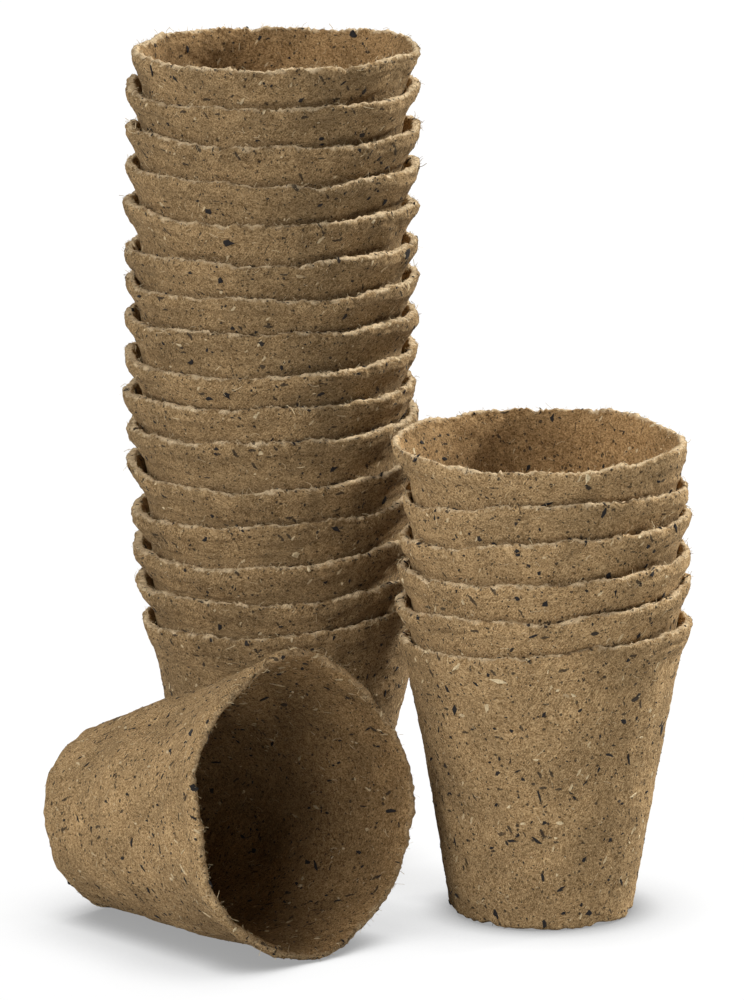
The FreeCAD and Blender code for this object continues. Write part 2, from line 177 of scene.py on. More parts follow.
# Relief of the pulp: what is added to the pot's seed, how far apart the lumps stand and how high
# they are. From here to the hairs, lengths are in millimetres.
WALL_LUMPS = ((1, 9, 0.10), (2, 3.4, 0.06), (3, 1.6, 0.04))
RIM_LUMPS = ((5, 7, 0.10), (6, 1.3, 0.10), (21, 3, 0.06))
TORN_AND_PAINTED_HIGHLIGHT_LUMPS = ((50, 5, 0.30), (51, 1.5, 0.25))
FREE_BULGE = (14, 24, 0.40)
NESTED_BULGE = (14, 24, 0.12)

# Waves round a pot: what is added to its seed, the fewest and the most crests, their size, and how
# fast the finer ones lose height
FREE_SWELL = (4, 2, 7, 0.45, 0.7)
NESTED_SWELL = (4, 2, 7, 0.12, 0.7)
BELLY_WAVE = (16, 2, 6, 0.14, 0.5)
LIFT_WAVE = (7, 3, 12, 0.36, 0.8)
TATTER_WAVES = ((8, 14, 60, 0.10, 0.5), (17, 60, 200, 0.13, 0.1))
REACH_WAVES = ((10, 3, 9, 0.30, 0.6), (11, 12, 50, 0.06, 0.4))
CREASE_PLACE_WAVE = (18, 2, 7, 0.7, 0.6)
CREASE_CUT_WAVE = (12, 2, 12, 0.14, 0.5)
FOOT_SPREAD_WAVE = (19, 2, 20, 0.26, 0.4)
FOOT_HEIGHT_WAVE = (13, 2, 26, 0.30, 0.3)

# Depths below the rim between which each thing fades away, or lengths along the section
TORN_AND_PAINTED_HIGHLIGHT_SPAN = (0.3, 1.2)
LUMPY_RIM_SPAN = (1.5, 5)
OUTSIDE_SHOWN_SPAN = (9, 12)
INSIDE_SHOWN_SPAN = (2, 5)
LIFT_SPAN = (7, 18)
TATTER_SPAN = (0.3, 1.8)
FREE_REACH_SPAN = (2, 35)
NESTED_REACH_SPAN = (2, 11)
INNER_REACH_SPAN = (0.8, 4.5)
INNER_REACH_SHARE = 0.4

# The fuller wall under the lip: where it starts, where it ends and how full it is
LOWEST_BELLY = ((1.5, 6.5), (8, 34), 0.9)
NESTED_BELLY = ((1.5, 4), (8.5, 10.5), 0.45)

# Notches in the rim: how many, their widths in radians and their depths, and their own seed
NOTCH_COUNTS = (3, 7)
NOTCH_WIDTHS = (0.02, 0.09)
NOTCH_DEPTHS = (0.2, 0.9)
NOTCH_SEED = 9

# The crease under the lip and the spread of the foot, with heights above the table
CREASE_DEPTH = 3.6
CREASE_WIDTH = 0.7
CREASE_CUT = 0.16
FOOT_SPREAD = 0.25
FOOT_SPAN = (0.8, 6)
FOOT_EDGE_SPAN = (-5, -1)
SWELL_SPAN = (0, 12)

# Chips of bark and straw: how many to the square millimetre, the usual and the greatest length, how
# much the lengths differ, the widths as a share of the length, and how thick and how deep they lie
CHIP_CROWD = 0.050
CHIP_LENGTH = 0.90
CHIP_LONGEST = 4.0
CHIP_SPREAD = 0.60
CHIP_WIDTHS = (0.22, 0.75)
CHIP_THICK = 0.22
CHIP_SUNK = 0.10
BARK_SHARE = 0.78
BARK_TONES = (0, 0.30)
STRAW_TONES = (0.7, 1.0)
LARGE_CHIP_SCALE = (1.25, 0.95)
LARGE_CHIP_THICK = 0.34
LARGE_CHIP_SUNK = 0.12

# Loose fibres that lie on the wall
FIBRE_CROWD = 0.045
FIBRE_LENGTHS = (0.8, 3.2)
FIBRE_WIDTHS = (0.07, 0.14)
FIBRE_TONES = (0.45, 1.0)
PALE_FIBRE_SHARE = 0.75
DARK_FIBRE_TONE = 0.1

# Hairs that stand off the rim: where, how many, how long, how far outwards, and how deep their roots
HAIR_BAND = (-1.5, 1.2)
HAIR_COUNT = 460
HAIR_SPREAD = 0.5
HAIR_LONGEST = 3.6
HAIR_WIDTHS = (0.05, 0.11)
HAIR_TONES = (0.75, 1.0)
HAIR_OUTWARDS = 0.9
HAIR_ROOT = 0.3
TABLE_GAP = 4

# The templates' own shapes: the corners of a chip, how uneven it is and how far its top draws in,
# the flatness of a fibre, the bends of fibres and hairs in radians, and the pieces in each
CHIP_KINDS = 12
CHIP_CORNERS = (5, 6, 7, 8)
CHIP_SEED = 40
CHIP_UNEVEN = (0.45, 1.2)
CHIP_TOP = 0.72
FIBRE_FLAT = 0.06
FIBRE_BENDS = (0.25, 0.5, 0.9, 1.4, 2.0)
FIBRE_PARTS = 3
HAIR_BENDS = (0.3, 0.8, 1.5)
HAIR_PARTS = 2

# The bands that get flecks where a nest hides the rest
SHOWN_OUTSIDE = 13
SHOWN_INSIDE = 4
PAST_THE_END = 1.2

# Seeds: the first of each batch, the step from pot to pot and the step to a pot's flecks
TALL_SEED = 1000
SHORT_SEED = 3000
LOOSE_SEED = 5000
POT_SEEDS = 20
FLECK_SEED = 15
LOOSE_WEAR = 0.9

# Fibres of the felt: how finely they run along each axis, how far they wind round the pot, and the
# range of the noise that tells them from their ground
UPRIGHT = (2600.0, 2600.0, 420.0)
LEVEL = (420.0, 420.0, 2600.0)
LIGHT_FIBRES = ((UPRIGHT, 22.0, 0.56, 0.68), (UPRIGHT, -17.0, 0.57, 0.69), (LEVEL, 0.0, 0.57, 0.69),
                ((2000.0, 2000.0, 520.0), 48.0, 0.57, 0.69))
DARK_FIBRES = (((2300.0, 2300.0, 520.0), 9.0, 0.42, 0.32), ((2200.0, 2200.0, 560.0), -40.0, 0.42, 0.32),
               ((520.0, 520.0, 2300.0), 0.0, 0.42, 0.32))

# Flecks in the wall's own colour: how finely their cells lie along each axis, how far they wind, the
# share of the cells that has one and its size as a share of the cell
ROUND_FLECKS = (((700.0, 700.0, 700.0), 0.0, 0.30, 0.34), ((1250.0, 1250.0, 1250.0), 0.0, 0.16, 0.40))
LONG_FLECKS = (((620.0, 620.0, 210.0), 14.0, 0.12, 0.32), ((260.0, 260.0, 640.0), 0.0, 0.10, 0.32))
STRAW_FLECKS = ((700.0, 700.0, 240.0), -14.0, 0.10, 0.32)
FLECK_SMALLEST = 0.35
FLECK_EDGE = 0.06

# The noises of the wall: how fine, how many layers and how rough. The two warps have a shift instead
BROAD_WARP = (110.0, 1.0, 0.010)
FINE_WARP = (900.0, 2.0, 0.0009)
FIBRE_NOISE = (2200.0, 3.0, 0.62)
CRUMB_NOISE = (760.0, 3.0, 0.60)
CLOUD_NOISE = (70.0, 3.0, 0.55)
RIB_PATCH_NOISE = (45.0, 2.0)
FLECK_NOISE = (1600.0, 3.0)

# Where on a noise each colour starts and is full, and the range that it then runs through
DARK_GROUND = (0.52, 0.36)
LIGHT_GROUND = (0.50, 0.66)
CLOUDS = (0.34, 0.66, 0.86, 1.14)
TORN_AND_PAINTED_HIGHLIGHT_FIBRES = (0.30, 0.52, 0.30, 0.95)
RIB_PATCHES = (0.42, 0.60)
RIB_PAINTED_LIGHT_AND_SHADE = (-0.5, 0.5, 0.87, 1.13)
BARK_TO_PEAT = (0.2, 0.55)
PEAT_TO_STRAW = (0.5, 1.0)
FLECK_SHADES = (0.3, 0.7, 0.72, 1.2)

# How much of the wall each thing covers or weighs
FIBRE_SHARE = 0.75
DARK_FIBRE_COVER = 0.50
LIGHT_FIBRE_COVER = 0.48
BARK_COVER = 0.80
STRAW_COVER = 0.70
PEAT_GLOSS = 0.10

# The ribs of the screen: their radians to each radian round and each metre up, and how wavy they are.
# Then how high the ribs, the grain and the fibres stand, as shares of the relief
RIBS_ROUND = 290.0
RIBS_UP = -5200.0
RIBS_UNEVEN = 7.0
RIB_DEPTH = 0.50
GROUND_DEPTH = 1.6
STREAK_DEPTH = 0.45

# Roughness and gloss of the flecks, then the depth and the strength of their relief
FLECK_SURFACE = (0.85, 0.2)
FLECK_RELIEF = (0.08 * MM, 0.8)

# Floor: how far each shadow reaches in millimetres, the open share of the sky at which it is full
# and gone, and how bright the floor is there. Then the samples of a shadow and the floor's own grey
NEAR_SHADOW = (13, 0.25, 0.96, 0.48, 1.0)
WIDE_SHADOW = (34, 0.40, 0.97, 0.68, 0.99)
SHADOW_SAMPLES = 8
FLOOR_LIT = 0.03

# Lamps: the spread, the bearing and the rise in degrees, and the colour. The card has its place, what
# it faces and its sides in metres
KEY_LAMP = (6.0, 30.0, 38.0, (1.0, 0.97, 0.91))
FILL_LAMP = (55.0, -137.0, 28.0, (1.0, 0.97, 0.93))
BOUNCE_CARD = ((0.24, -0.25, 0.03), (0.08, -0.075, 0.02), (0.22, 0.06), (1.0, 0.96, 0.90))

# The sky's colour, the camera's place and sensor in millimetres, and how far it sees in metres
SKY_COLOUR = (0.94, 0.98, 1.0, 1)
CAMERA_PLACE = (28.31, -2048.5, 533.35)
SENSOR_WIDTH = 36.0
CLIP_END = 100.0


def a_length(name, description, millimetres):
    """Return a setting for a length."""
    return FloatProperty(name=name, description=description, default=millimetres * MM, unit="LENGTH")


def a_colour(name, description, value):
    """Return a setting for a colour."""
    return FloatVectorProperty(name=name, description=description, default=value, subtype="COLOR")


def a_strength(name, description, value):
    """Return a setting for a share or a strength."""
    return FloatProperty(name=name, description=description, default=value, min=0)


class PotSizes(bpy.types.PropertyGroup):
    """Sizes of one moulded pot."""
    height: a_length("Height", "From the foot to the rim", 80)
    foot: a_length("Foot", "Diameter of the foot", 50)
    mouth: a_length("Mouth", "Diameter of the wall at the rim", 76.4)
    wall: a_length("Wall", "Thickness of the wall", 1.25)
    floor: a_length("Floor", "Thickness of the floor", 1.8)
    foot_round: a_length("Foot rounding", "Radius round the foot", 1.3)
    floor_round: a_length("Floor rounding", "Radius round the floor", 2.0)
    lip_reach: a_length("Lip reach", "How far the lip stands out of the wall", 1.8)
    lip_height: a_length("Lip height", "Height of the lip with its underside", 7.4)
    lip_band: a_length("Lip band", "Height of the lip's upright band", 2.4)
    crest_round: a_length("Crest rounding", "Rounding of the rim's outer edge", 1.1)
    bore_round: a_length("Bore rounding", "Rounding of the rim's inner edge", 0.5)
    flare: a_length("Flare", "How far the mouth widens at the rim", 1.3)
    flare_depth: a_length("Flare depth", "Where the mouth starts to widen", 4.0)
    fine_step: a_length("Fine step", "Size of a face where the pot shows", 0.9)
    lip_step: a_length("Lip step", "Size of a face on the lip", 0.46)
    coarse_step: a_length("Coarse step", "Size of a face where a nest hides it", 14.0)
    columns: IntProperty(name="Columns", description="Faces round the pot", default=320, min=24)


class PeatFinish(bpy.types.PropertyGroup):
    """Colours and roughness of the moulded peat."""
    dark: a_colour("Dark fibre", "Peat between the fibres", (0.105, 0.062, 0.026))
    middle: a_colour("Peat", "Most of the wall", (0.285, 0.186, 0.090))
    light: a_colour("Light fibre", "Raised wood fibre", (0.520, 0.375, 0.205))
    # The torn edge's colour is partly bare fibre and partly a painted highlight along the crest
    torn: a_colour("Torn edge", "Bare fibre along the rim", (0.780, 0.630, 0.420))
    bark: a_colour("Bark", "Dark flecks of bark", (0.018, 0.016, 0.016))
    straw: a_colour("Straw", "Pale chips of straw", (0.680, 0.560, 0.360))
    inside: a_colour("Inside tint", "What the inside's colours are multiplied by", (0.99, 0.93, 0.86))
    roughness: a_strength("Roughness", "How matt the peat is", 0.95)
    relief: a_length("Fibre relief", "Depth of the fibre grain", 0.05)


class StudioSettings(bpy.types.PropertyGroup):
    """Floor, lamps and camera."""
    floor_side: FloatProperty(name="Floor", description="Side of the floor", default=14.0, unit="LENGTH")
    floor_shade: a_strength("Floor shade", "How light the floor is", 0.45)
    key: a_strength("Key light", "Strength of the lamp behind at the right", 5.2)
    fill: a_strength("Fill light", "Strength of the lamp in front at the left", 2.6)
    bounce: a_strength("Bounce light", "Power of the card low in front at the right", 0.11)
    sky: a_strength("Sky", "Strength of the light all round", 0.04)
    lens: FloatProperty(name="Lens", description="Focal length in millimetres", default=270.0)
    pitch: FloatProperty(name="Pitch", description="How far the camera looks down",
                         default=math.radians(11.79), subtype="ANGLE")


def ease(value, start, end):
    """Return 0 before start, 1 after end and a smooth rise between them."""
    share = np.clip((value - start) / (end - start), 0, 1)
    return share * share * (3 - 2 * share)


def ring_wave(turn, seed, lowest, highest, size, fall):
    """Return a wave round the pot that closes on itself, of the given mean size."""
    draw = np.random.default_rng(seed)
    counts = np.arange(lowest, highest + 1)
    weights = counts ** -float(fall)
    weights = weights / math.sqrt((weights ** 2).sum() / 2)
    phases = draw.uniform(0, FULL_TURN, len(counts))
    wave = np.zeros_like(turn)
    for count, weight, phase in zip(counts, weights, phases):
        wave += weight * np.cos(count * turn + phase)
    return size * wave


def lumps(places, seed, spacing, size, waves=28):
    """Return a soft uneven relief over the places, with lumps about the given spacing apart."""
    draw = np.random.default_rng(seed)
    total = np.zeros(len(places))
    for _ in range(waves):
        way = draw.normal(size=3)
        way *= FULL_TURN / (spacing * draw.uniform(0.7, 1.8) * np.linalg.norm(way))
        total += np.cos(places @ way + draw.uniform(0, FULL_TURN))
    return size * total / math.sqrt(waves / 2)


def four_way(turn, values):
    """Return a smooth run round the pot through its values at the left, right, front and back."""
    left, right, front, back = values
    mean = (left + right + front + back) / 4
    across = (right - left) / 2
    away = (back - front) / 2
    double = (right + left - front - back) / 4
    return mean + across * np.cos(turn) + away * np.sin(turn) + double * np.cos(2 * turn)


def wall_slope(sizes):
    """Return the radius that the wall gains for each length of height."""
    return (sizes.mouth - sizes.foot) / 2 / sizes.height


def wall_across(sizes):
    """Return the wall's thickness measured level."""
    return sizes.wall * math.sqrt(1 + wall_slope(sizes) ** 2)


def corner_cut(radius, angle):
    """Return how far from a corner of this angle a rounding of this radius starts."""
    return radius / math.tan(angle / 2)


def section_wire(sizes, fine_outside, fine_inside):
    """Draw half the pot's section as a wire from the middle of the foot to the middle of the floor."""
    slope = wall_slope(sizes)
    lean = math.atan(slope)
    foot = sizes.foot / 2
    bore = sizes.mouth / 2 - wall_across(sizes)
    rim = sizes.mouth / 2 + sizes.lip_reach
    lip_foot = sizes.height - sizes.lip_height
    shown_foot = lip_foot - sizes.lip_height
    flare_foot = sizes.height - sizes.flare_depth
    bore_shown = flare_foot - sizes.lip_height
    right_angle = math.pi / 2
    corners = [
        (0, 0, 0),
        (foot, 0, corner_cut(sizes.foot_round, right_angle + lean)),
        (foot + slope * shown_foot, shown_foot, 0),
        (foot + slope * lip_foot, lip_foot, sizes.lip_reach),
        (rim, sizes.height - sizes.lip_band, sizes.wall),
        (rim, sizes.height, sizes.crest_round),
        (bore + sizes.flare, sizes.height, sizes.bore_round),
        (bore - slope * sizes.flare_depth, flare_foot, sizes.lip_reach),
        (bore - slope * (sizes.height - bore_shown), bore_shown, 0),
        (foot - wall_across(sizes) + slope * sizes.floor, sizes.floor,
         corner_cut(sizes.floor_round, right_angle + lean)),
        (0, sizes.floor, 0),
    ]
    bm = bmesh.new()
    points = [bm.verts.new((across, 0, height)) for across, height, _ in corners]
    for start, end in zip(points, points[1:]):
        bm.edges.new((start, end))
    for point, (_, _, cut) in zip(points, corners):
        if cut:
            bmesh.ops.bevel(bm, geom=[point], offset=cut, offset_type="OFFSET", affect="VERTICES",
                            segments=ROUNDING_PARTS, profile=0.5, material=-1)
    middle = foot + slope * sizes.height / 2
    for edge in bm.edges[:]:
        low = min(vert.co.z for vert in edge.verts)
        across = max(vert.co.x for vert in edge.verts)
        outside = across > foot - wall_across(sizes) / 2 + slope * low and low < flare_foot
        level = abs(edge.verts[0].co.z - edge.verts[1].co.z) < sizes.wall
        if low > lip_foot - sizes.wall and not level:
            step = sizes.lip_step
        elif level and across < middle:
            fine = fine_inside or (fine_outside and low < sizes.wall)
            step = 2 * sizes.fine_step if fine else sizes.coarse_step
        elif outside:
            step = sizes.fine_step if fine_outside or low > shown_foot - sizes.wall else sizes.coarse_step
        else:
            step = sizes.fine_step if fine_inside or low > bore_shown - sizes.wall else sizes.coarse_step
        cuts = math.ceil(edge.calc_length() / step) - 1
        if cuts > 0:
            bmesh.ops.subdivide_edges(bm, edges=[edge], cuts=cuts)
    return bm


def mark_stations(bm, sizes):
    """Write on each point of the wire how far along the section it lies from the rim's crest."""
    bm.verts.ensure_lookup_table()
    layer = bm.verts.layers.float.new("station")
    start = min(bm.verts, key=lambda vert: vert.co.length)
    crest = max(bm.verts, key=lambda vert: (round(vert.co.z, 6), vert.co.x))
    before, here, along = None, start, 0.0
    run = [(start, along)]
    while True:
        onward = [edge for edge in here.link_edges if edge is not before]
        if not onward:
            break
        before = onward[0]
        along += before.calc_length()
        here = before.other_vert(here)
        run.append((here, along))
    middle = next(length for vert, length in run if vert is crest)
    for vert, length in run:
        vert[layer] = length - middle


def put_in_rows(bm, columns):
    """Sort the points and faces by row and column, because the spin leaves them in no fixed order."""
    layer = bm.verts.layers.float["station"]
    rows = {station: row for row, station in enumerate(sorted({vert[layer] for vert in bm.verts}))}

    def column(place):
        return math.atan2(place.y, place.x) % FULL_TURN / FULL_TURN * columns

    bm.verts.sort(key=lambda vert: rows[vert[layer]] * columns + round(column(vert.co)) % columns)
    bm.faces.sort(key=lambda face: min(rows[vert[layer]] for vert in face.verts) * columns
                  + math.floor(column(face.calc_center_median())))


def to_mesh(bm, name):
    """Return the shape as a mesh and let go of it."""
    mesh = bpy.data.meshes.new(name)
    bm.to_mesh(mesh)
    bm.free()
    return mesh


def add_piece(mesh, material):
    """Put a finished mesh into the scene under its own name."""
    mesh.materials.append(material)
    piece = bpy.data.objects.new(mesh.name, mesh)
    bpy.context.scene.collection.objects.link(piece)
    return piece


def make_mould(name, sizes, fine_outside, fine_inside):
    """Spin the section to a whole pot, closed at both poles, and return it as a mesh."""
    bm = section_wire(sizes, fine_outside, fine_inside)
    mark_stations(bm, sizes)
    # One slice is spun and then repeated round the axis, which is much quicker than one long spin
    slices = 8
    slice_turn = FULL_TURN / slices
    bmesh.ops.spin(bm, geom=bm.verts[:] + bm.edges[:], cent=(0, 0, 0), axis=(0, 0, 1), dvec=(0, 0, 0),
                   angle=slice_turn, steps=round(sizes.columns / slices), use_merge=False,
                   use_duplicate=False)
    bmesh.ops.spin(bm, geom=bm.verts[:] + bm.edges[:] + bm.faces[:], cent=(0, 0, 0), axis=(0, 0, 1),
                   dvec=(0, 0, 0), angle=FULL_TURN - slice_turn, steps=slices - 1, use_merge=False,
                   use_duplicate=True)
    bmesh.ops.remove_doubles(bm, verts=bm.verts[:], dist=sizes.wall / 100)
    bmesh.ops.recalc_face_normals(bm, faces=bm.faces[:])
    if bm.calc_volume(signed=True) < 0:
        bmesh.ops.reverse_faces(bm, faces=bm.faces[:])
    put_in_rows(bm, sizes.columns)
    return to_mesh(bm, name)


def read_points(mesh):
    """Return the mesh's points as an array of three columns."""
    places = np.zeros(len(mesh.vertices) * 3)
    mesh.vertices.foreach_get("co", places)
    return places.reshape(-1, 3)


def write_attribute(mesh, name, kind, values):
    """Give every point of the mesh a named value or vector for its material to read."""
    attribute = mesh.attributes.get(name) or mesh.attributes.new(name, kind, "POINT")
    field = "vector" if kind == "FLOAT_VECTOR" else "value"
    attribute.data.foreach_set(field, np.ravel(values).astype(np.float32))


def relief(places, seed, table):
    """Return the sum of the table's reliefs of lumps over the places."""
    return sum(lumps(places, seed + step, spacing * MM, size * MM) for step, spacing, size in table)


def ring_waves(turn, seed, *table):
    """Return the sum of the table's waves round the pot."""
    return sum(ring_wave(turn, seed + step, lowest, highest, size * MM, fall)
               for step, lowest, highest, size, fall in table)


def over(value, span):
    """Return 0 before a span in millimetres, 1 after it and a smooth rise between."""
    return ease(value, span[0] * MM, span[1] * MM)


def fade(value, span):
    """Return 1 before a span in millimetres, 0 after it and a smooth fall between."""
    return 1 - over(value, span)


def torn_notches(turn, seed):
    """Return how deep the notches that are torn into the rim go, round the pot."""
    draw = np.random.default_rng(seed + NOTCH_SEED)
    deep = np.zeros_like(turn)
    for _ in range(int(draw.integers(*NOTCH_COUNTS))):
        middle = draw.uniform(-math.pi, math.pi)
        away = np.abs((turn - middle + math.pi) % FULL_TURN - math.pi)
        width = draw.uniform(*NOTCH_WIDTHS)
        deep += draw.uniform(*NOTCH_DEPTHS) * MM * np.exp(-(away / width) ** 2)
    return deep


def shape_pot(name, mould, sizes, seed, heights, reaches, placing, fine_outside, fine_inside, wear):
    """Copy the mould, wear and dent the copy in its own way, and put it in its place."""
    mesh = mould.copy()
    mesh.name = name
    places = read_points(mesh)
    normals = np.zeros(len(mesh.vertices) * 3)
    mesh.vertices.foreach_get("normal", normals)
    station = np.zeros(len(mesh.vertices))
    mesh.attributes["station"].data.foreach_get("value", station)
    outside = station < 0
    height = places[:, 2].copy()
    depth = sizes.height - height
    radius = np.hypot(places[:, 0], places[:, 1])
    turn = np.arctan2(places[:, 1], places[:, 0])
    slope = wall_slope(sizes)
    free = fine_outside and fine_inside

    shift = np.array([0.0, 0.0, (seed % PATTERN_PLACES) * PATTERN_STEP])
    write_attribute(mesh, "mould_place", "FLOAT_VECTOR", places + shift)
    drum = sizes.foot / 2 + slope * sizes.height / 2
    ring = (drum * np.cos(turn), drum * np.sin(turn))
    write_attribute(mesh, "mould_wrap", "FLOAT_VECTOR", np.column_stack((*ring, station)) + shift)
    write_attribute(mesh, "outside", "FLOAT", outside.astype(float))
    # The pale torn edge along the crest, partly bare fibre and partly a painted highlight
    torn_edge_and_painted_highlight = fade(np.abs(station) + relief(places, seed, TORN_AND_PAINTED_HIGHLIGHT_LUMPS), TORN_AND_PAINTED_HIGHLIGHT_SPAN)
    write_attribute(mesh, "torn_edge_and_painted_highlight", "FLOAT", torn_edge_and_painted_highlight * (TORN_AND_PAINTED_HIGHLIGHT_FREE if free else TORN_AND_PAINTED_HIGHLIGHT_NESTED))
    # Each batch's tone, partly a real difference between batches and partly painted light and shade
    write_attribute(mesh, "batch_tone_and_painted_light", "FLOAT", np.where(outside, *BATCH_TONES_AND_PAINTED_LIGHT[name.split("_")[0]]))

    # The grain of the wall, in full where it shows and held back inside a nest. The rim is lumpier.
    shows = np.where(outside, 1 if fine_outside else fade(depth, OUTSIDE_SHOWN_SPAN),
                     1 if fine_inside else fade(depth, INSIDE_SHOWN_SPAN))
    grain = relief(places, seed, WALL_LUMPS)
    grain += fade(np.abs(station), LUMPY_RIM_SPAN) * relief(places, seed, RIM_LUMPS)
    grain *= HIDDEN_GRAIN + (1 - HIDDEN_GRAIN) * shows
    places = places + normals.reshape(-1, 3) * grain[:, None]

    # A free pot bulges and sags as a whole, both sides of its wall together
    swell = ring_waves(turn, seed, FREE_SWELL if free else NESTED_SWELL)
    swell += relief(np.column_stack((*ring, height)), seed, [FREE_BULGE if free else NESTED_BULGE])
    swell *= over(height, SWELL_SPAN) * (1 if free else shows)
    # In a nest the wall under the lip stands a little fuller than the mould
    start, end, fullness = LOWEST_BELLY if fine_outside else NESTED_BELLY
    belly = over(depth, start) * fade(depth, end)
    belly *= fullness * MM + (0 if fine_outside else ring_waves(turn, seed, BELLY_WAVE))
    belly *= 1 if free else outside

    # Worn height and reach of the rim, a wave of its own and its torn edge
    lift = four_way(turn, heights) * MM + wear * ring_waves(turn, seed, LIFT_WAVE)
    tatter = wear * (ring_waves(turn, seed, *TATTER_WAVES) - torn_notches(turn, seed))
    rise = lift * fade(depth, LIFT_SPAN) + tatter * fade(depth, TATTER_SPAN)
    reach = four_way(turn, reaches) * MM + wear * ring_waves(turn, seed, *REACH_WAVES)
    outer_share = fade(depth, FREE_REACH_SPAN if free else NESTED_REACH_SPAN)
    inner_share = outer_share if fine_inside else INNER_REACH_SHARE * fade(depth, INNER_REACH_SPAN)
    grow = reach * np.where(outside, outer_share, inner_share)
    grow += slope * rise * ease(height, 0, sizes.height / 2) + swell + belly
    # A faint crease runs round under the lip
    crease_at = CREASE_DEPTH * MM + ring_waves(turn, seed, CREASE_PLACE_WAVE)
    crease = np.exp(-((depth - crease_at) / (CREASE_WIDTH * MM)) ** 2) * outside
    grow -= crease * np.maximum(CREASE_CUT * MM + ring_waves(turn, seed, CREASE_CUT_WAVE), 0)
    if fine_outside:
        # The foot spreads a little at its edge and stands unevenly
        edge = over(radius - sizes.foot / 2, FOOT_EDGE_SPAN) * fade(height, FOOT_SPAN) * outside
        grow += (FOOT_SPREAD * MM + ring_waves(turn, seed, FOOT_SPREAD_WAVE)) * edge
        rise += np.abs(ring_waves(turn, seed, FOOT_HEIGHT_WAVE)) * edge
    places[:, 0] += grow * np.cos(turn)
    places[:, 1] += grow * np.sin(turn)
    places[:, 2] += rise
    return mesh, placing(places)


def finish_pot(mesh, places, body, material):
    """Write the moved points, dress the pot and let it ride on its body in place of its node."""
    mesh.vertices.foreach_set("co", np.ravel(places).astype(np.float32))
    for polygon in mesh.polygons:
        polygon.use_smooth = True
    mesh.update()
    mesh.materials.clear()
    piece = add_piece(mesh, material)
    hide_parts(body)
    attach(piece, body)
    return piece


def chip_template(corners, seed):
    """Return a thin chip with an uneven outline, one unit long and wide and one high."""
    draw = np.random.default_rng(seed)
    bm = bmesh.new()
    bmesh.ops.create_circle(bm, cap_ends=True, segments=corners, radius=0.5)
    for vert in bm.verts:
        vert.co *= draw.uniform(*CHIP_UNEVEN)
    made = bmesh.ops.extrude_face_region(bm, geom=bm.faces[:], use_keep_orig=True)["geom"]
    top = [item for item in made if isinstance(item, bmesh.types.BMVert)]
    bmesh.ops.translate(bm, verts=top, vec=(0, 0, 1))
    bmesh.ops.scale(bm, verts=top, vec=(CHIP_TOP, CHIP_TOP, 1))
    bmesh.ops.recalc_face_normals(bm, faces=bm.faces[:])
    return to_mesh(bm, "chip")


def fibre_template(bend, steps):
    """Return a thin fibre one unit long and wide that curves through the given angle."""
    bm = bmesh.new()
    made = bmesh.ops.create_circle(bm, cap_ends=False, segments=3, radius=0.5)["verts"]
    bmesh.ops.scale(bm, verts=made, vec=(1, FIBRE_FLAT, 1))
    bmesh.ops.rotate(bm, verts=made, cent=(0, 0, 0), matrix=Matrix.Rotation(math.pi / 2, 3, "Y"))
    bmesh.ops.spin(bm, geom=bm.verts[:] + bm.edges[:], cent=(0, 1 / bend, 0), axis=(0, 0, 1), dvec=(0, 0, 0),
                   angle=bend, steps=steps, use_merge=False, use_duplicate=False)
    loose = [edge for edge in bm.edges if edge.is_boundary]
    bmesh.ops.holes_fill(bm, edges=loose, sides=3)
    centre = sum((vert.co for vert in bm.verts), Vector()) / len(bm.verts)
    bmesh.ops.translate(bm, verts=bm.verts[:], vec=-centre)
    bmesh.ops.recalc_face_normals(bm, faces=bm.faces[:])
    return to_mesh(bm, "fibre")


